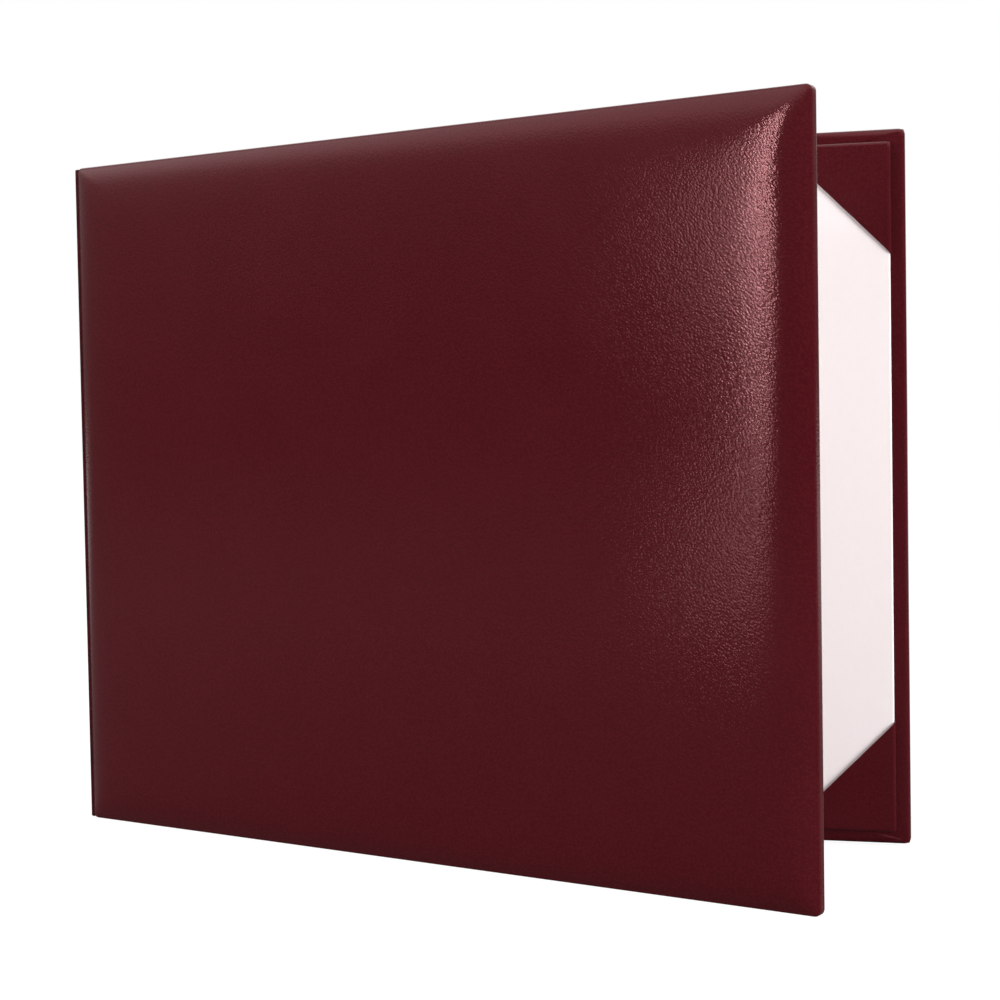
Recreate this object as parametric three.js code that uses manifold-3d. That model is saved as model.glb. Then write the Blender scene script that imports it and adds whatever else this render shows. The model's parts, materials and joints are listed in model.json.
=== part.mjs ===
// A padded diploma cover for one landscape certificate, standing open on its lower edges like a
// card. Two stiff covers are wrapped in leatherette and joined by a soft leatherette spine. The
// front cover is padded with foam. Inside the back cover is a white-lined panel whose four corner
// pockets hold the certificate, and inside the front cover is a plain white-lined panel.
// Millimetres, +Z up. The back cover stands along +X from the spine and the front cover opens
// towards -Y. The origin is under the middle of the whole cover, on the surface it stands on.

import * as THREE from "three";
import { mergeVertices } from "three/addons/utils/BufferGeometryUtils.js";
import Module from "manifold-3d";

const wasm = await Module();
wasm.setup();

// Covers
const coverWidth = 290; // from the fold at the spine to the free edge
const coverHeight = 234;
const coverCorner = 2; // rounding of a cover's four corners
const boardThickness = 2.5; // greyboard
const leather = 0.4; // leatherette of the covers and the spine
const glueGap = 0.1; // between two sheets that are glued together
const edgeRound = 0.8; // bend of the leatherette over a board's edge
const turnIn = 15; // leatherette folded over onto the inside of a board
const seamWidth = 0.25; // where two turn-ins meet at a corner
const seamStart = 0.9; // from the cover's corner to the seam, along the free edge
const seamSlant = THREE.MathUtils.degToRad(15);

// Padding of the front cover
const shoulderRise = 2.6; // how far the foam's soft edge lifts the leatherette
const shoulderReach = 5;
const crownRise = 1.1; // the slow rise from there to the middle
const crownReach = 30;
const plateauInset = 60; // from here inwards the padding is level
const foamInset = 2.5; // the foam stops short of the board's edge
const cornerGrowth = 0.7; // how fast the corner rounding grows up the padding

// White-lined inner panels
const panelBorder = 4.8; // leatherette that shows beside a panel
const panelSpineBorder = 4; // from the fold to the panel
const panelCorner = 1.2;
const panelBoard = 1;
const lining = 0.2; // white lining sheet
const liningTurnIn = 12;
const liningRound = 0.4; // bend of the lining over the panel's edge

// Corner pockets
const pocketLeather = 0.4;
const pocketLeg = 38; // along each edge of the panel, from its corner
const pocketTurnIn = 10; // leatherette folded over onto the back of the panel
const pocketSlit = 0.3; // room for the certificate under a pocket

// Spine and opening
const foldClearance = 0.3; // between the inside of the spine and the edge of a closed cover
const spineShortfall = 0.4; // the spine stops this far short of the covers' ends
const foldGap = 0.15; // from each fold to the spine's own edge
const stripReach = 12; // how far the lining strip runs onto each cover
const stripCorner = 0.5;
const closedGap = 0.5; // between the closed inner panels, for the certificate
const openAngle = THREE.MathUtils.degToRad(19);

const cornerSteps = 6;
const bendSteps = 4;
const paddingSteps = 12;
const ringCrowding = 2.4; // how strongly the padding's rings crowd towards its foot
const roundLimit = 0.95; // a ring's corner rounding stays under this share of its half sides
const overcut = 1; // how far a cutting block runs past what it cuts

const coverThickness = boardThickness + 2 * (leather + glueGap);
const spineThickness = 2 * leather + glueGap;
const foldDepth = spineThickness + foldClearance; // from the fold to the cover's own edge
const panelThickness = panelBoard + 2 * (lining + glueGap);
const pocketThickness = panelThickness + pocketSlit + 2 * pocketLeather + glueGap;
const panelHeight = coverHeight - 2 * panelBorder;
const stripHeight = coverHeight - 2 * (turnIn + spineShortfall + glueGap);
const backStack = coverThickness + glueGap + pocketThickness;
const frontStack = coverThickness + glueGap + panelThickness;
const spineWidth = backStack + frontStack + closedGap; // from fold to fold

const leatherette = new THREE.MeshStandardMaterial({ color: 0x551c22, roughness: 0.45 });
const greyboard = new THREE.MeshStandardMaterial({ color: 0x8f877a, roughness: 0.95 });
const foam = new THREE.MeshStandardMaterial({ color: 0xe6e0d2, roughness: 1 });
const whiteLining = new THREE.MeshStandardMaterial({ color: 0xfdf1f0, roughness: 0.8 });

// A rectangle on a cover, measured along x from the fold and centred in height.
function area(start, end, height) {
  return { centre: (start + end) / 2, width: end - start, height };
}

const coverArea = area(foldDepth, coverWidth, coverHeight);
const panelArea = area(panelSpineBorder, coverWidth - panelBorder, panelHeight);

function inside({ centre, width, height }, inset) {
  return { centre, width: width - 2 * inset, height: height - 2 * inset };
}

// One closed solid from a list of rings, each a rounded rectangle with its inset from the area's
// outline, its level over the inside of the cover and its corner rounding. The list runs from the
// outer side inwards, and its first and last ring are closed flat.
function ringSolid({ centre, width, height }, rings) {
  const positions = [];
  for (const { inset, level, corner } of rings) {
    const halfWidth = width / 2 - inset;
    const halfHeight = height / 2 - inset;
    const round = Math.min(corner, roundLimit * Math.min(halfWidth, halfHeight));
    const straightX = halfWidth - round;
    const straightZ = halfHeight - round;
    for (let quarter = 0; quarter < 4; quarter++) {
      const sideX = quarter === 0 || quarter === 3 ? 1 : -1;
      const sideZ = quarter < 2 ? 1 : -1;
      for (let step = 0; step <= cornerSteps; step++) {
        const angle = ((quarter + step / cornerSteps) * Math.PI) / 2;
        const x = centre + sideX * straightX + round * Math.cos(angle);
        const z = sideZ * straightZ + round * Math.sin(angle);
        positions.push(x, level, z);
      }
    }
  }
  const around = 4 * (cornerSteps + 1);
  const triangles = [];
  for (let ring = 0; ring < rings.length - 1; ring++) {
    for (let i = 0; i < around; i++) {
      const outer = ring * around + i;
      const outerNext = ring * around + ((i + 1) % around);
      triangles.push(outer, outerNext, outer + around);
      triangles.push(outerNext, outerNext + around, outer + around);
    }
  }
  const last = (rings.length - 1) * around;
  for (let i = 1; i < around - 1; i++) {
    triangles.push(0, i + 1, i);
    triangles.push(last, last + i, last + i + 1);
  }
  const geometry = new THREE.BufferGeometry();
  geometry.setAttribute("position", new THREE.Float32BufferAttribute(positions, 3));
  geometry.setIndex(triangles);
  return geometry;
}

function slab(outline, corner, bottom, thickness) {
  return ringSolid(outline, [
    { inset: 0, level: bottom + thickness, corner },
    { inset: 0, level: bottom, corner },
  ]);
}

// How far the padding lifts the leatherette, at a distance in from its edge.
function paddingLift(run) {
  const shoulder = shoulderRise * (1 - Math.exp(-run / shoulderReach));
  const crown = crownRise * (1 - Math.exp(-run / crownReach));
  return shoulder + crown;
}

// Rings down the padding, from its level middle to its foot at a given inset. They lie closer
// together where it curves more.
function paddingRings(footInset, level) {
  return Array.from({ length: paddingSteps }, (_, i) => {
    const along = 1 - i / paddingSteps;
    const inset = footInset + (plateauInset - footInset) * along ** ringCrowding;
    const run = inset - edgeRound;
    const corner = coverCorner - edgeRound + cornerGrowth * run;
    return { inset, level: level + paddingLift(Math.max(run, 0)), corner };
  });
}

// Rings round the outer edge of a wrapped sheet, over its outer bend and then its inner one.
function edgeRings(thickness, round, corner) {
  const rings = [];
  for (let i = 0; i <= bendSteps; i++) {
    const angle = (i / bendSteps) * (Math.PI / 2);
    const inset = round * (1 - Math.sin(angle));
    rings.push({ inset, level: thickness - round * (1 - Math.cos(angle)), corner: corner - inset });
  }
  const inner = rings.map((ring) => ({ ...ring, level: thickness - ring.level }));
  return [...rings, ...inner.reverse()];
}

// A sheet wrapped over a board and turned in on its back, where it leaves a window. Level 0 is
// the back of the turn-in.
function wrappedSheet(outline, { thickness, sheet, fold, round, corner, padded = false }) {
  const foldCorner = corner / 2;
  const cavityCorner = corner - sheet;
  const outer = padded ? paddingRings(round, thickness) : [];
  const under = padded ? paddingRings(foamInset - glueGap, thickness - sheet) : [];
  return ringSolid(outline, [
    ...outer,
    ...edgeRings(thickness, round, corner),
    { inset: fold, level: 0, corner: foldCorner },
    { inset: fold, level: sheet, corner: foldCorner },
    { inset: sheet, level: sheet, corner: cavityCorner },
    { inset: sheet, level: thickness - sheet, corner: cavityCorner },
    ...under.reverse(),
  ]);
}

// A shape drawn in x and z, made solid between two levels.
function plate(points, bottom, top) {
  const shape = new THREE.Shape(points.map(([x, z]) => new THREE.Vector2(x, z)));
  const geometry = new THREE.ExtrudeGeometry(shape, { depth: top - bottom, bevelEnabled: false });
  return geometry.rotateX(Math.PI / 2).translate(0, top, 0);
}

function toManifold(geometry) {
  const bare = new THREE.BufferGeometry();
  bare.setAttribute("position", geometry.getAttribute("position"));
  bare.setIndex(geometry.getIndex());
  const merged = mergeVertices(bare);
  const vertProperties = Float32Array.from(merged.getAttribute("position").array);
  const triVerts = Uint32Array.from(merged.getIndex().array);
  return new wasm.Manifold(new wasm.Mesh({ numProp: 3, vertProperties, triVerts }));
}

function toGeometry(manifold) {
  const { vertProperties, triVerts } = manifold.getMesh();
  const geometry = new THREE.BufferGeometry();
  geometry.setAttribute("position", new THREE.BufferAttribute(vertProperties, 3));
  geometry.setIndex(new THREE.BufferAttribute(triVerts, 1));
  return geometry;
}

// The leatherette of one cover. It is turned in at the free edge, the head and the tail, and
// open towards the spine. A slanted seam shows at both free corners, where the turn-ins meet.
function coverLeatherette(padded) {
  const wrap = wrappedSheet(coverArea, {
    thickness: coverThickness,
    sheet: leather,
    fold: turnIn,
    round: edgeRound,
    corner: coverCorner,
    padded,
  });
  const under = coverThickness - leather;
  const spineTurnIn = openingPlate(turnIn, turnIn, -overcut, under);
  const spineWall = openingPlate(coverCorner, leather, leather, under);
  let skin = toManifold(wrap).subtract(toManifold(spineTurnIn)).subtract(toManifold(spineWall));
  for (const side of [1, -1]) {
    skin = skin.subtract(toManifold(turnInSeam(side)));
  }
  return toGeometry(skin);
}

// A block to cut from the spine side of a cover, this far in from its spine edge and from its
// head and tail.
function openingPlate(reach, endInset, bottom, top) {
  const half = coverHeight / 2 - endInset;
  const start = foldDepth - overcut;
  const end = foldDepth + reach;
  return plate([[start, -half], [end, -half], [end, half], [start, half]], bottom, top);
}

// The cut for the seam at a free corner: slanted where it shows beside the panel, and then
// straight to the corner of the window that the turn-ins leave.
function turnInSeam(side) {
  const bendAt = panelBorder + overcut;
  const path = [
    [edgeRound, seamStart],
    [bendAt, seamStart + (bendAt - edgeRound) * Math.tan(seamSlant)],
    [turnIn + overcut, turnIn + overcut],
  ];
  const line = path.map(([x, z]) => [coverWidth - x, side * (coverHeight / 2 - z)]);
  const far = line.map(([x, z]) => [x, z - side * seamWidth]).reverse();
  return plate([...line, ...far], -overcut, leather + glueGap / 2);
}

// One corner pocket: leatherette wrapped over a corner of the panel and turned in on its back,
// cut off along the diagonal. Level 0 is the back of the turn-in.
function cornerPocket(sideX, sideZ) {
  const clear = pocketLeather + glueGap;
  const wrap = wrappedSheet(inside(panelArea, -clear), {
    thickness: pocketThickness,
    sheet: pocketLeather,
    fold: pocketTurnIn + clear,
    round: edgeRound,
    corner: panelCorner + clear,
  });
  const leg = pocketLeg + 2 * overcut;
  const x = panelArea.centre + sideX * (panelArea.width / 2 + overcut);
  const z = sideZ * (panelArea.height / 2 + overcut);
  const triangle = [[x, z], [x - sideX * leg, z], [x, z - sideZ * leg]];
  const corner = plate(triangle, -overcut, pocketThickness + overcut);
  return toGeometry(toManifold(wrap).intersect(toManifold(corner)));
}

// The foam under the front leatherette, on the outside of the board.
function foamPad() {
  const bottom = coverThickness - leather;
  const top = bottom - glueGap;
  const rim = foamInset - edgeRound;
  const corner = coverCorner - edgeRound + cornerGrowth * rim;
  return ringSolid(coverArea, [
    ...paddingRings(foamInset, top),
    { inset: foamInset, level: top + paddingLift(rim), corner },
    { inset: foamInset, level: bottom, corner },
  ]);
}

// The leatherette between the folds, turned in at the head and the tail.
function spineLeatherette() {
  const half = coverHeight / 2 - spineShortfall;
  const bend = spineThickness / 2;
  const slot = glueGap / 2;
  const quarter = Math.PI / 2;
  const shape = new THREE.Shape();
  shape.moveTo(bend - half, 0);
  shape.lineTo(half - bend, 0);
  shape.absarc(half - bend, bend, bend, -quarter, quarter, false);
  shape.lineTo(half - turnIn, spineThickness);
  shape.lineTo(half - turnIn, bend + slot);
  shape.absarc(half - bend, bend, slot, quarter, -quarter, true);
  shape.absarc(bend - half, bend, slot, -quarter, -3 * quarter, true);
  shape.lineTo(turnIn - half, bend + slot);
  shape.lineTo(turnIn - half, spineThickness);
  shape.absarc(bend - half, bend, bend, quarter, 3 * quarter, false);
  const geometry = new THREE.ExtrudeGeometry(shape, {
    depth: spineWidth - 2 * foldGap,
    bevelEnabled: false,
    curveSegments: 2 * bendSteps,
  });
  return geometry.rotateY(Math.PI / 2).translate(foldGap, 0, 0);
}

// A flat piece of the strip that lines the spine and the covers beside it.
function strip(start, end, bottom) {
  return slab(area(start, end, stripHeight), stripCorner, bottom, leather);
}

function piece(name, geometry, material, level = 0) {
  const mesh = new THREE.Mesh(geometry, material);
  mesh.name = name;
  mesh.position.y = level;
  return mesh;
}

function group(...children) {
  return new THREE.Group().add(...children);
}

// A white-lined panel, turned over so that its levels run from the cover inwards.
function innerPanel(name, lift, pockets) {
  const boardInset = lining + glueGap;
  const cover = wrappedSheet(panelArea, {
    thickness: panelThickness,
    sheet: lining,
    fold: liningTurnIn,
    round: liningRound,
    corner: panelCorner,
  });
  const core = slab(inside(panelArea, boardInset), panelCorner - boardInset, boardInset, panelBoard);
  const panel = group(
    piece(`${name}_panel_board`, core, greyboard, lift),
    piece(`${name}_panel_lining`, cover, whiteLining, lift),
    ...pockets,
  );
  panel.rotation.x = Math.PI;
  panel.position.y = -glueGap;
  return panel;
}

// One cover with its outer face at y = 0 and its fold at the spine on the z axis.
function cover(name, padding, panel) {
  const boardInset = leather + glueGap;
  const board = slab(
    inside(coverArea, boardInset),
    coverCorner - boardInset,
    boardInset,
    boardThickness,
  );
  const layers = group(
    piece(`${name}_board`, board, greyboard),
    piece(`${name}_leatherette`, coverLeatherette(padding.length > 0), leatherette),
    piece(`${name}_spine_strip`, strip(foldDepth, foldDepth + stripReach, 0), leatherette),
    ...padding,
    panel,
  );
  layers.position.y = -coverThickness;
  return group(layers);
}

// The panel is turned over, so the pockets at the head are on its lower side as it is drawn.
const pockets = [];
for (const [end, sideZ] of [["top", -1], ["bottom", 1]]) {
  for (const [side, sideX] of [["spine", -1], ["free", 1]]) {
    const geometry = cornerPocket(sideX, sideZ);
    pockets.push(piece(`pocket_${end}_${side}_corner`, geometry, leatherette));
  }
}

const backCover = cover("back", [], innerPanel("back", pocketLeather + glueGap, pockets));
const padding = [piece("front_foam", foamPad(), foam)];
const frontCover = cover("front", padding, innerPanel("front", 0, []));

// The spine turns about the back cover's fold, and the front cover about the spine's far fold.
// The front cover is the same build turned over, so that its outer face looks the other way.
const foldAngle = (Math.PI + openAngle) / 2; // between a cover and the spine
const spine = group(
  piece("spine_leatherette", spineLeatherette(), leatherette),
  piece("spine_strip", strip(foldGap, spineWidth - foldGap, leather + glueGap), leatherette),
  frontCover,
);
spine.rotation.z = -foldAngle;
frontCover.position.x = spineWidth;
frontCover.rotation.set(Math.PI, 0, foldAngle - Math.PI);

const diplomaCover = group(backCover, spine);
const box = new THREE.Box3().setFromObject(diplomaCover, true);
const middle = box.getCenter(new THREE.Vector3());
diplomaCover.position.set(-middle.x, -middle.y, -box.min.z);

export default diplomaCover;
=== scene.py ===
import json
import math

import bpy
from mathutils import Matrix, Vector


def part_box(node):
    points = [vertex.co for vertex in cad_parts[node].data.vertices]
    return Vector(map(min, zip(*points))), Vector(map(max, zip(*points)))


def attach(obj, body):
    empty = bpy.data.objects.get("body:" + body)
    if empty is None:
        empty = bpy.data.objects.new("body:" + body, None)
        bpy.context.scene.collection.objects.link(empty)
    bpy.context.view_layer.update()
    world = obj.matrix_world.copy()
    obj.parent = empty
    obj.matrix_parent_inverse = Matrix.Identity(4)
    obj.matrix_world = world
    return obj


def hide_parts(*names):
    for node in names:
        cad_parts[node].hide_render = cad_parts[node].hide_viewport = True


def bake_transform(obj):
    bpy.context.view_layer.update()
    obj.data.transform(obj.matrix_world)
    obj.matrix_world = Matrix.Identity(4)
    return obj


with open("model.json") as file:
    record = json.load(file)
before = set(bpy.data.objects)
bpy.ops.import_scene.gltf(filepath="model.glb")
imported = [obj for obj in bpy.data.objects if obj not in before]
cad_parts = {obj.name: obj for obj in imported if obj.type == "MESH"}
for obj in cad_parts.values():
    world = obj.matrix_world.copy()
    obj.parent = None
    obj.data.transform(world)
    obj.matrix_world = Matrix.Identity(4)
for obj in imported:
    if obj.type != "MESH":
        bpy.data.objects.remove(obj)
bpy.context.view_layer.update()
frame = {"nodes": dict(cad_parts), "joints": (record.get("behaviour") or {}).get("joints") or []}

scene = bpy.context.scene
scene.view_settings.view_transform = "Standard"
bpy.ops.object.select_all(action="DESELECT")


# Camera
# It stands in front of the open cover, a little to the right of its middle and a little above
# it, where the photograph was taken.
camera = bpy.data.objects.new("camera", bpy.data.cameras.new("camera"))
scene.collection.objects.link(camera)
scene.camera = camera
camera.location = (0.1948, -0.6217, 0.1436)
camera.rotation_euler = [math.radians(angle) for angle in (87.57, 0.98, 15.51)]
camera.data.sensor_width = 36
camera.data.lens = 72.9
camera.data.clip_start = 0.01


# Shader maths
# A Value wraps a node's socket, so that a material's patterns are written as plain sums.
class Value:
    def __init__(self, tree, socket):
        self.tree = tree
        self.socket = socket

    @classmethod
    def node(cls, tree, kind, settings=None, inputs=None, output=0):
        made = tree.nodes.new(kind)
        for name, setting in (settings or {}).items():
            setattr(made, name, setting)
        for name, value in (inputs or {}).items():
            if isinstance(value, Value):
                tree.links.new(value.socket, made.inputs[name])
            else:
                made.inputs[name].default_value = value
        return cls(tree, made.outputs[output])

    def maths(self, operation, *values):
        inputs = dict(enumerate(values))
        return Value.node(self.tree, "ShaderNodeMath", {"operation": operation}, inputs)

    def __add__(self, other):
        return self.maths("ADD", self, other)

    def __mul__(self, other):
        return self.maths("MULTIPLY", self, other)

    def __rsub__(self, other):
        return self.maths("SUBTRACT", other, self)

    __radd__ = __add__
    __rmul__ = __mul__

    def between(self, low, high):
        inputs = {"Value": self, "From Min": low, "From Max": high}
        settings = {"interpolation_type": "SMOOTHSTEP"}
        return Value.node(self.tree, "ShaderNodeMapRange", settings, inputs)

    def tint(self, low, high):
        low_colour, high_colour, mixed_colour = 6, 7, 2      # the Mix node's colour sockets
        inputs = {"Factor": self, low_colour: low, high_colour: high}
        return Value.node(self.tree, "ShaderNodeMix", {"data_type": "RGBA"}, inputs, mixed_colour)


def plain_material(name, roughness=0.5, specular=0.5):
    material = bpy.data.materials.new(name)
    material.use_nodes = True
    shader = material.node_tree.nodes["Principled BSDF"]
    shader.inputs["Roughness"].default_value = roughness
    shader.inputs["Specular IOR Level"].default_value = specular
    return material, material.node_tree, shader


def lead(value, shader, socket):
    value.tree.links.new(value.socket, shader.inputs[socket])


# Studio
# A white sweep behind and under the object, and a dim room in front of it. A narrow strip and two
# small lamps at the left draw the gleam down the padded edge, and two wide panels fill the rest.
floor_grey = (0.3, 0.3, 0.3, 1)
floor_brightness = 0.85
floor_size = 12
sweep_start, sweep_end = 0.1, 1.0
bpy.ops.mesh.primitive_plane_add(size=floor_size)
floor = bpy.context.object
floor.name = "floor"
floor_material, floor_tree, floor_shader = plain_material(
    "floor_white", roughness=0.9, specular=0.0,
)


def seen_directly(tree):
    """Whether a ray shows the surroundings themselves: to the camera, in a gleam or through glass."""
    names = ("Is Camera Ray", "Is Glossy Ray", "Is Transmission Ray")
    camera_ray, glossy_ray, transmission_ray = [
        Value.node(tree, "ShaderNodeLightPath", output=name) for name in names
    ]
    return camera_ray, glossy_ray.maths("MAXIMUM", glossy_ray, transmission_ray)


camera_ray, mirrored_ray = seen_directly(floor_tree)
floor_shader.inputs["Base Color"].default_value = floor_grey
floor_shader.inputs["Emission Strength"].default_value = floor_brightness
floor_place = Value.node(floor_tree, "ShaderNodeTexCoord", output="Object")
floor_depth = Value.node(
    floor_tree, "ShaderNodeSeparateXYZ", inputs={"Vector": floor_place}, output="Y",
)
floor_glow = camera_ray + mirrored_ray * floor_depth.between(sweep_start, sweep_end)
lead(floor_glow.tint((0, 0, 0, 1), (1, 1, 1, 1)), floor_shader, "Emission Color")
floor.data.materials.append(floor_material)

world = bpy.data.worlds.new("studio")
scene.world = world
world.use_nodes = True
background = world.node_tree.nodes["Background"]
room_light = 0.7
room_gleam = 0.04
side_gleam = 0.18
ceiling_gleam = 0.5
ceiling_panel_gleam = 1.8
# Where each part of the room begins and is full, along a direction of length one.
back_sweep = (0.75, 1.0)
left_side = (-0.7, -1.0)
ceiling = (-0.02, 0.3)
ceiling_panel = (0.25, 0.6)
camera_ray, mirrored_ray = seen_directly(world.node_tree)
direction = Value.node(world.node_tree, "ShaderNodeTexCoord", output="Generated")
toward_right, toward_back, upward = [
    Value.node(world.node_tree, "ShaderNodeSeparateXYZ", inputs={"Vector": direction}, output=axis)
    for axis in "XYZ"
]
gleam = room_gleam + toward_back.between(*back_sweep)
gleam = gleam + side_gleam * toward_right.between(*left_side)
gleam = gleam + ceiling_gleam * upward.between(*ceiling)
gleam = gleam + ceiling_panel_gleam * upward.between(*ceiling_panel)
lit = room_light * (1 - camera_ray) * (1 - mirrored_ray)
world_strength = lit + camera_ray + mirrored_ray * gleam
world.node_tree.links.new(world_strength.socket, background.inputs["Strength"])
background.inputs["Color"].default_value = (1, 1, 1, 1)

# The lamps stand round a point on the front cover's free edge, at their own heights.
free_edge = Vector((0.114, -0.048, 0.12))
for name, azimuth, distance, level, width, height, watts, gleams in (
    ("left_strip", -38.6, 1.6, 0.5, 0.05, 0.62, 5.2, True),
    ("left_glow", -42.5, 1.6, 0.42, 0.2, 0.28, 1.2, True),
    ("low_glow", -42.0, 1.6, 0.05, 0.16, 0.1, 0.5, True),
    ("left_panel", -60, 1.8, 0.5, 0.9, 0.7, 10, False),
    ("right_panel", 64, 1.6, 0.14, 0.8, 0.8, 38.5, False),
):
    light = bpy.data.lights.new(name, "AREA")
    light.shape = "RECTANGLE"
    light.size = width
    light.size_y = height
    light.energy = watts
    lamp = bpy.data.objects.new(name, light)
    lamp.visible_glossy = gleams
    scene.collection.objects.link(lamp)
    across = math.radians(azimuth)
    away = Vector((math.sin(across), -math.cos(across), 0)) * distance
    lamp.location = Vector((free_edge.x, free_edge.y, level)) + away
    lamp.rotation_euler = (lamp.location - free_edge).to_track_quat("Z", "Y").to_euler()


# Leatherette of the back cover
# One sheet of burgundy leatherette, glued over the greyboard and folded in at the edges. Where
# two turn-ins meet at a corner, the one along the head or tail lies over the other, and its
# slanted end shows as a soft step.
def leatherette(name):
    gleam_tint = (1.0, 0.45, 0.47, 1)
    hollow = (0.051, 0.0038, 0.0062, 1)
    crest = (0.074, 0.0067, 0.0098, 1)
    hollow_level, crest_level = 0.55, 1.15
    grain_slant = math.radians(40)
    grain_stretch = 1.8
    grain_depth = 0.000030
    pebble_scale, fine_scale, cloud_scale = 1750, 2600, 45
    fine_share, cloud_share = 0.5, 0.3
    base_roughness, crest_polish, cloud_roughness = 0.10, 0.03, 0.05
    material, tree, shader = plain_material(name, specular=0.3)
    shader.inputs["Specular Tint"].default_value = gleam_tint
    place = Value.node(tree, "ShaderNodeTexCoord", output="Object")
    # The grain's pebbles are drawn out along a slant, from upper left to lower right.
    slanted = Value.node(tree, "ShaderNodeMapping", {"vector_type": "TEXTURE"}, {
        "Vector": place,
        "Rotation": (0, grain_slant, 0),
        "Scale": (grain_stretch, 1, 1),
    })
    pebbles = Value.node(tree, "ShaderNodeTexVoronoi", inputs={
        "Vector": slanted, "Scale": pebble_scale,
    })
    fine = Value.node(tree, "ShaderNodeTexNoise", inputs={
        "Vector": slanted, "Scale": fine_scale, "Detail": 1,
    })
    cloud = Value.node(tree, "ShaderNodeTexNoise", inputs={
        "Vector": place, "Scale": cloud_scale, "Detail": 2,
    })
    relief = (1 - pebbles) + fine_share * fine
    shade = relief.between(hollow_level, crest_level)
    mixed = shade * (1 - cloud_share) + cloud * cloud_share
    lead(mixed.tint(hollow, crest), shader, "Base Color")
    roughness = base_roughness - crest_polish * shade + cloud_roughness * cloud
    lead(roughness, shader, "Roughness")
    bump = Value.node(tree, "ShaderNodeBump", inputs={
        "Height": relief, "Distance": grain_depth, "Strength": 1.0,
    })
    lead(bump, shader, "Normal")
    return material


def outline_point(s, t, half_x, half_z, corner):
    """The point of a rounded rectangle that belongs to a point s, t on the edge of a square."""
    on_side = abs(s) >= abs(t)
    long, short = (half_z, half_x) if on_side else (half_x, half_z)
    along = t / abs(s) if on_side else s / abs(t)
    even_spread, corner_spread = 0.45, 0.55
    spread = even_spread * abs(along) + corner_spread * math.sin(abs(along) * math.pi / 2)
    straight = long - corner
    run = spread * (straight + corner * math.pi / 4)
    if run <= straight:
        reach, side = run, short
    else:
        angle = (run - straight) / corner
        reach = straight + corner * math.sin(angle)
        side = short - corner * (1 - math.cos(angle))
    reach = math.copysign(reach, along)
    if on_side:
        return math.copysign(side, s), reach
    return reach, math.copysign(side, t)


least_corner = 0.0004
ring_crowding = 2.4
turn_in_shares = (0.06, 0.12, 0.19, 0.27, 0.36, 0.5, 0.7, 1.0)
smooth_angle = math.radians(50)
tiny = 0.000001


def ring_sheet(name, centre, rings):
    """A square grid drawn over a list of rounded rectangles, from the innermost outwards. Each
    has its half width, half height, corner rounding and level."""
    count = len(rings)
    bpy.ops.mesh.primitive_grid_add(x_subdivisions=2 * count, y_subdivisions=2 * count, size=2)
    piece = bpy.context.object
    piece.name = name
    for vertex in piece.data.vertices:
        s, t = vertex.co.x, vertex.co.y
        ring = round(max(abs(s), abs(t)) * count)
        half_x, half_z, corner, level = rings[max(ring, 1) - 1]
        x, z = outline_point(s, t, half_x, half_z, corner) if ring else (0, 0)
        vertex.co = (centre + x, level, z)
    return piece


def face_rings(half_x, half_z, bend, corner, counts, middle, growth=0.0, lift=None):
    """Rings over a board's face, from its middle to the bend at its edge."""
    inner_count, outer_count = counts
    rings = []
    for step in range(1, inner_count + 1):
        share = step / inner_count
        run = middle - bend + (1 - share) * (half_z - middle)
        inner_corner = share * (max(corner - bend, least_corner) + growth * (middle - bend))
        level = lift(run) if lift else 0.0
        rings.append([share * (half_x - middle), share * (half_z - middle), inner_corner, level])
    for step in range(1, outer_count + 1):
        along = 1 - step / outer_count
        inset = bend + (middle - bend) * along ** ring_crowding
        outer_corner = max(corner - bend, least_corner) + growth * (inset - bend)
        level = lift(inset - bend) if lift else 0.0
        rings.append([half_x - inset, half_z - inset, outer_corner, level])
    return rings


def quarter_bend(bend, steps=6):
    """How far a bend stands in from its side and down from its face, from the face onwards."""
    angles = [math.pi / 2 * step / steps for step in range(steps + 1)]
    return [(bend * (1 - math.sin(a)), bend * (1 - math.cos(a))) for a in angles]


def edge_rings(half_x, half_z, bends, corner, thickness, turn_in):
    """Rings round a board's edge and over its turn-in, down from the level of the face. The
    bend over the face and the bend over the turn-in have a radius each."""
    face_bend, back_bend = bends
    around = [(inset, -drop) for inset, drop in quarter_bend(face_bend)[1:]]
    around += [(inset, drop - thickness) for inset, drop in reversed(quarter_bend(back_bend))]
    for share in turn_in_shares:
        around.append((back_bend + (turn_in - back_bend) * share, -thickness))
    return [
        [half_x - inset, half_z - inset, max(corner - inset, least_corner), level]
        for inset, level in around
    ]


def finish_sheet(piece, sheet, place):
    """Gives a sheet its thickness, on its inner side, and puts it in its place."""
    bpy.ops.object.mode_set(mode="EDIT")
    bpy.ops.mesh.select_all(action="SELECT")
    bpy.ops.mesh.flip_normals()
    bpy.ops.object.mode_set(mode="OBJECT")
    thick = piece.modifiers.new("sheet", "SOLIDIFY")
    thick.thickness = sheet
    thick.offset = -1
    thick.use_even_offset = True
    bpy.ops.object.modifier_apply(modifier=thick.name)
    bpy.ops.object.shade_smooth_by_angle(angle=smooth_angle)
    piece.data.transform(place)
    bpy.ops.object.select_all(action="DESELECT")


def cut_line(piece, point, normal, near, reach):
    """Cuts new edges into the faces near a point, where a plane through it crosses them."""
    for face in piece.data.polygons:
        face.select = near(face.center) and (face.center - point).length < reach
    for group in (piece.data.edges, piece.data.vertices):
        for item in group:
            item.select = False
    bpy.context.tool_settings.mesh_select_mode = (False, False, True)
    bpy.ops.object.mode_set(mode="EDIT")
    bpy.ops.mesh.bisect(plane_co=point, plane_no=normal, threshold=tiny)
    bpy.ops.object.mode_set(mode="OBJECT")


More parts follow.
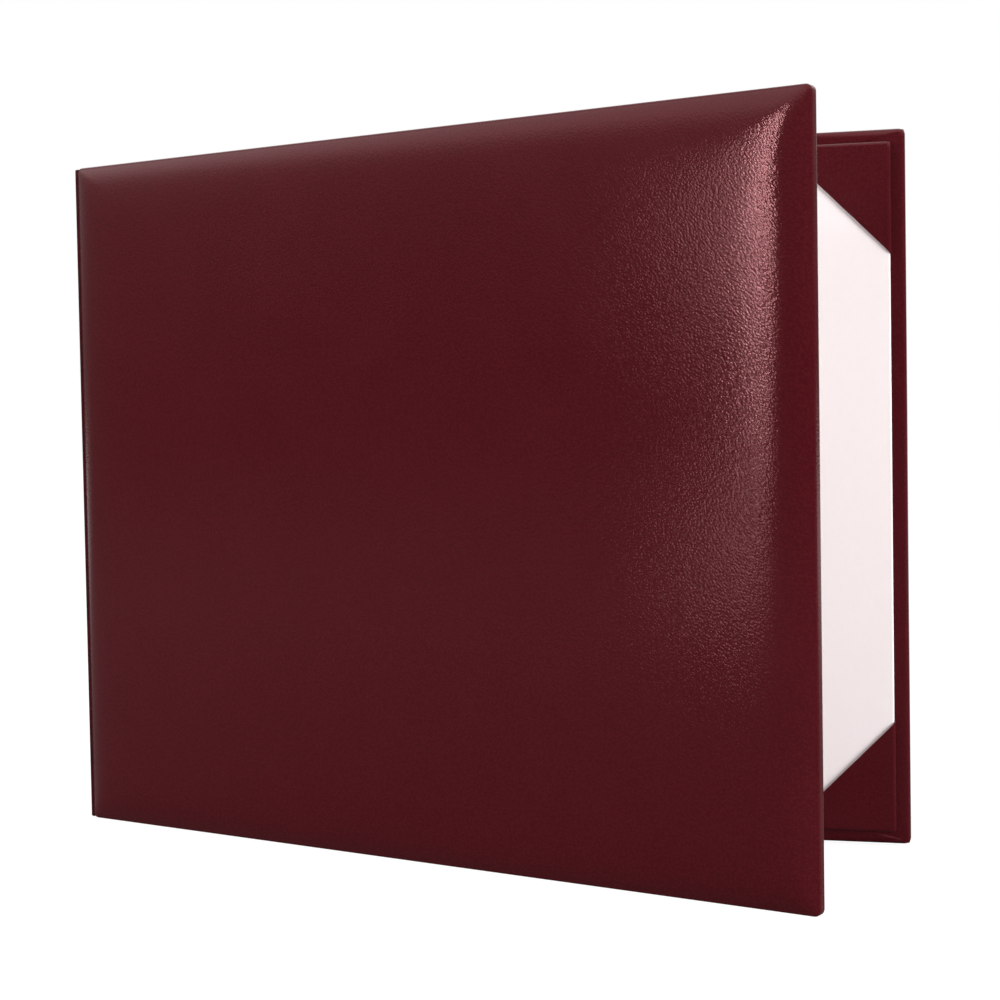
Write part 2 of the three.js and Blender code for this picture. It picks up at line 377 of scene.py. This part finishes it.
folds = {joint["name"]: Vector(joint["pos_m"]) for joint in frame["joints"]}
back_fold = folds["back_hinge"]
front_fold = folds["front_hinge"]
cover_low, cover_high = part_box("back_leatherette")
cover_start = cover_low[0] - back_fold.x
cover_end = cover_high[0] - back_fold.x
half_width = (cover_end - cover_start) / 2
half_height = (cover_high[2] - cover_low[2]) / 2
cover_middle = (cover_start + cover_end) / 2
cover_thickness = cover_high[1] - cover_low[1]
sheet = 0.0004
cover_bend = 0.0008
turn_in_bend = 0.0014
turn_in = 0.015
face_middle = 0.060
burgundy = leatherette("burgundy_leatherette")

seam_slant = math.radians(15)
seam_start = 0.0009
seam_width = 0.0003
seam_step = 0.00025
seam_reach = 0.030
seam_fade = 0.020
seam_cut = 0.020
border = 0.0048
border_margin = 0.0002


def lay_corner_seams(piece):
    """Lets the head and tail turn-ins lie over the free edge's, with a slanted end."""
    def on_turn_in(centre):
        return centre.y < tiny - cover_thickness and centre.x > cover_end - seam_reach

    for side in (-1, 1):
        normal = Vector((-math.sin(seam_slant), 0, side * math.cos(seam_slant)))
        corner = Vector((
            cover_end - cover_bend, -cover_thickness, side * (half_height - seam_start),
        ))
        for shift in (0, seam_width):
            cut_line(piece, corner + normal * shift, normal, on_turn_in, seam_cut)
        for vertex in piece.data.vertices:
            place = vertex.co
            if place.y > tiny - cover_thickness or place.z * side < 0:
                continue
            over = (place - corner).dot(normal) / seam_width
            from_free = cover_end - place.x
            from_end = half_height - abs(place.z)
            fade = max(0.0, min(1.0, (seam_reach - from_free) / seam_fade))
            if from_end < border - border_margin:
                place.y -= seam_step * fade * max(0.0, min(1.0, over))


back_corner = 0.0013
back_cover = ring_sheet("back_cover_leatherette", cover_middle, face_rings(
    half_width, half_height, cover_bend, back_corner, counts=(16, 16), middle=face_middle,
) + edge_rings(
    half_width, half_height, (cover_bend, turn_in_bend), back_corner, cover_thickness, turn_in,
))
lay_corner_seams(back_cover)
finish_sheet(back_cover, sheet, Matrix.Translation(back_fold))
back_cover.data.materials.append(burgundy)
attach(back_cover, "back_cover")
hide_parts("back_leatherette", "back_spine_strip")


# Padded leatherette of the front cover
# The same sheet, stretched over a foam pad on the outside of the board. The foam's soft edge
# lifts it just inside the cover's rim, and from there it crowns slowly to the middle.
shoulder_rise = 0.0026
shoulder_reach = 0.005
crown_rise = 0.0011
crown_reach = 0.030
corner_growth = 0.7
front_corner = 0.002
front_back_bend = 0.0006
spine_vector = front_fold - back_fold
opening = 2 * math.asin(-spine_vector.x / spine_vector.length)


def padding(run):
    shoulder = shoulder_rise * (1 - math.exp(-run / shoulder_reach))
    crown = crown_rise * (1 - math.exp(-run / crown_reach))
    return shoulder + crown


turned_over = Matrix.Rotation(-opening, 4, "Z") @ Matrix.Rotation(math.pi, 4, "X")
front_cover = ring_sheet("front_cover_leatherette", cover_middle, face_rings(
    half_width, half_height, cover_bend, front_corner, counts=(24, 50), middle=face_middle,
    growth=corner_growth, lift=padding,
) + edge_rings(
    half_width, half_height, (cover_bend, front_back_bend), front_corner, cover_thickness, turn_in,
))
lay_corner_seams(front_cover)
finish_sheet(front_cover, sheet, Matrix.Translation(front_fold) @ turned_over)
front_cover.data.materials.append(burgundy)
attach(front_cover, "front_cover")
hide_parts("front_leatherette", "front_spine_strip")


# Spine
# The same leatherette between the two covers, lined with a strip of it on the inside. It bends
# at two folds, one along each cover, and is made as two halves that meet in its middle.
glue = 0.0001
spine_thickness = 2 * sheet + glue
spine_round = 0.0004
fold_radius = 0.0015
fold_turn = math.pi / 2 - opening / 2
fold_steps = 12
flat_steps = 4
spine_rows = 60
spine_overlap = 0.6 * cover_bend
tangent = fold_radius * math.tan(fold_turn / 2)
spine_low, spine_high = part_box("spine_leatherette")
spine_height = spine_high[2] - spine_low[2]


def round_head_and_tail(piece):
    """Rounds the long edges where the leatherette is folded over at the head and the tail."""
    nearly_upright, nearly_level = 0.9, 0.1
    faces = piece.data.polygons
    ends = {
        key for face in faces if abs(face.normal.z) > nearly_upright for key in face.edge_keys
    }
    sides = {
        key for face in faces if abs(face.normal.z) < nearly_level for key in face.edge_keys
    }
    bpy.context.tool_settings.mesh_select_mode = (False, True, False)
    for edge in piece.data.edges:
        first, second = [piece.data.vertices[i].co for i in edge.vertices]
        across = abs((first - second).length - spine_thickness) < 10 * tiny
        edge.select = edge.key in ends & sides and not across
    bpy.ops.object.mode_set(mode="EDIT")
    bpy.ops.mesh.bevel(offset=spine_round, segments=3)
    bpy.ops.object.mode_set(mode="OBJECT")


def spine_half(name, place, replaced):
    """From just over a cover's edge, round its fold, to the middle of the spine."""
    path = [(cover_start + spine_overlap, 0.0), (cover_start, 0.0)]
    for step in range(fold_steps + 1):
        angle = fold_turn * step / fold_steps
        path.append((tangent - fold_radius * math.sin(angle), -fold_radius * (1 - math.cos(angle))))
    along = Vector((-math.cos(fold_turn), -math.sin(fold_turn)))
    middle = spine_vector.length / 2
    for step in range(1, flat_steps + 1):
        path.append(tuple(along * (tangent + (middle - tangent) * step / flat_steps)))
    path = path[::-1]
    bpy.ops.mesh.primitive_grid_add(
        x_subdivisions=len(path) - 1, y_subdivisions=spine_rows, size=2,
    )
    piece = bpy.context.object
    piece.name = name
    for vertex in piece.data.vertices:
        x, y = path[round((vertex.co.x + 1) / 2 * (len(path) - 1))]
        vertex.co = (x, y, vertex.co.y * spine_height / 2)
    bpy.ops.object.mode_set(mode="EDIT")
    bpy.ops.mesh.select_all(action="SELECT")
    bpy.ops.mesh.flip_normals()
    bpy.ops.object.mode_set(mode="OBJECT")
    thick = piece.modifiers.new("layers", "SOLIDIFY")
    thick.thickness = spine_thickness
    thick.offset = -1
    thick.use_even_offset = True
    bpy.ops.object.modifier_apply(modifier=thick.name)
    round_head_and_tail(piece)
    bpy.ops.object.shade_smooth_by_angle(angle=smooth_angle)
    piece.data.transform(place)
    piece.data.materials.append(burgundy)
    bpy.ops.object.select_all(action="DESELECT")
    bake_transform(piece)
    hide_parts(*replaced)


spine_half(
    "spine_back_half", Matrix.Translation(back_fold), ["spine_leatherette"],
)
spine_half(
    "spine_front_half", Matrix.Translation(front_fold) @ turned_over,
    ["spine_strip"],
)


# White lining of the inner panels
# Matte white paper over thin board, turned over the board's edges. Its faint laid texture only
# shows close up.
def white_lining():
    low_white = (0.93, 0.85, 0.855, 1)
    high_white = (0.98, 0.91, 0.915, 1)
    fibre_stretch = (1, 1, 0.35)
    fibre_depth = 0.00002
    fibre_scale, cloud_scale = 1400, 25
    fibre_share, cloud_share = 0.6, 0.4
    material, tree, shader = plain_material("white_lining", roughness=0.85, specular=0.2)
    place = Value.node(tree, "ShaderNodeTexCoord", output="Object")
    stretched = Value.node(tree, "ShaderNodeMapping", inputs={
        "Vector": place, "Scale": fibre_stretch,
    })
    fibres = Value.node(tree, "ShaderNodeTexNoise", inputs={
        "Vector": stretched, "Scale": fibre_scale, "Detail": 3,
    })
    cloud = Value.node(tree, "ShaderNodeTexNoise", inputs={
        "Vector": place, "Scale": cloud_scale, "Detail": 2,
    })
    shade = fibres * fibre_share + cloud * cloud_share
    lead(shade.tint(low_white, high_white), shader, "Base Color")
    bump = Value.node(tree, "ShaderNodeBump", inputs={
        "Height": fibres, "Distance": fibre_depth, "Strength": 0.6,
    })
    lead(bump, shader, "Normal")
    return material


lining = white_lining()
for name in ("back_panel_lining", "front_panel_lining"):
    frame["nodes"][name].data.materials.clear()
    frame["nodes"][name].data.materials.append(lining)


# Boards and foam
# Raw greyboard inside the covers and panels, and pale foam under the front leatherette. They
# are closed in, and show only where the model is taken apart.
def speckled(name, low, high, scale, roughness):
    dark_level, light_level = 0.35, 0.65
    speck_depth = 0.0001
    material, tree, shader = plain_material(name, roughness, specular=0.2)
    place = Value.node(tree, "ShaderNodeTexCoord", output="Object")
    specks = Value.node(tree, "ShaderNodeTexNoise", inputs={
        "Vector": place, "Scale": scale, "Detail": 4,
    })
    lead(specks.between(dark_level, light_level).tint(low, high), shader, "Base Color")
    bump = Value.node(tree, "ShaderNodeBump", inputs={
        "Height": specks, "Distance": speck_depth, "Strength": 0.5,
    })
    lead(bump, shader, "Normal")
    return material


greyboard = speckled(
    "greyboard", low=(0.2, 0.18, 0.15, 1), high=(0.32, 0.29, 0.25, 1), scale=900, roughness=0.95,
)
foam = speckled(
    "foam", low=(0.62, 0.58, 0.5, 1), high=(0.82, 0.78, 0.7, 1), scale=1500, roughness=1.0,
)
hidden = {
    "back_board": greyboard,
    "front_board": greyboard,
    "back_panel_board": greyboard,
    "front_panel_board": greyboard,
    "front_foam": foam,
}
for name, material in hidden.items():
    frame["nodes"][name].data.materials.clear()
    frame["nodes"][name].data.materials.append(material)


# Corner pockets
# Four triangles of leatherette, each drawn over a corner of the white panel and glued to its
# back. The certificate's corners slip under the slanted edge, which stands a little proud.
pocket_sheet = 0.0004
pocket_leg = 0.0364
pocket_bend = 0.0011
pocket_back_bend = 0.0007
pocket_corner = 0.0008
pocket_turn_in = 0.010
pocket_bow = 0.0003
pocket_bow_reach = 0.007
pocket_middle = 0.05
slant_distance = pocket_leg / math.sqrt(2)
pocket_boxes = [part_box(node) for node in frame["nodes"] if node.startswith("pocket_")]
pocket_low = Vector([min(low[axis] for low, high in pocket_boxes) for axis in range(3)])
pocket_high = Vector([max(high[axis] for low, high in pocket_boxes) for axis in range(3)])
pocket_half_width = (pocket_high.x - pocket_low.x) / 2
pocket_half_height = (pocket_high.z - pocket_low.z) / 2
pocket_thickness = pocket_high.y - pocket_low.y
panel_place = Matrix.Translation((
    (pocket_low.x + pocket_high.x) / 2, pocket_low.y, (pocket_low.z + pocket_high.z) / 2,
)) @ Matrix.Rotation(math.pi, 4, "X")


def corner_pocket(name, side_x, side_z):
    """One corner of a sheet drawn over the whole panel, cut off along the slant."""
    piece = ring_sheet(name, 0, face_rings(
        pocket_half_width, pocket_half_height, pocket_bend, pocket_corner,
        counts=(10, 30), middle=pocket_middle,
    ) + edge_rings(
        pocket_half_width, pocket_half_height, (pocket_bend, pocket_back_bend), pocket_corner,
        pocket_thickness, pocket_turn_in,
    ))
    slant = Vector((side_x, 0, side_z)).normalized()
    corner = Vector((side_x * pocket_half_width, 0, side_z * pocket_half_height))
    middle = corner - slant * slant_distance
    bpy.ops.object.mode_set(mode="EDIT")
    bpy.ops.mesh.select_all(action="SELECT")
    bpy.ops.mesh.bisect(plane_co=middle, plane_no=slant, clear_inner=True)
    bpy.ops.object.mode_set(mode="OBJECT")
    for vertex in piece.data.vertices:
        if vertex.co.y > -pocket_bend:
            from_slant = (vertex.co - middle).dot(slant)
            across = (vertex.co - middle).cross(slant).y / slant_distance
            crest = max(0.0, 1 - across ** 2) ** 0.5
            vertex.co.y += pocket_bow * crest * math.exp(-from_slant / pocket_bow_reach)
    finish_sheet(piece, pocket_sheet, panel_place)
    piece.data.materials.append(burgundy)
    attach(piece, "back_cover")
    return piece


for end, side_z in (("top", -1), ("bottom", 1)):
    for side, side_x in (("spine", -1), ("free", 1)):
        pocket = corner_pocket(f"{end}_{side}_pocket", side_x, side_z)
        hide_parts(f"pocket_{end}_{side}_corner")
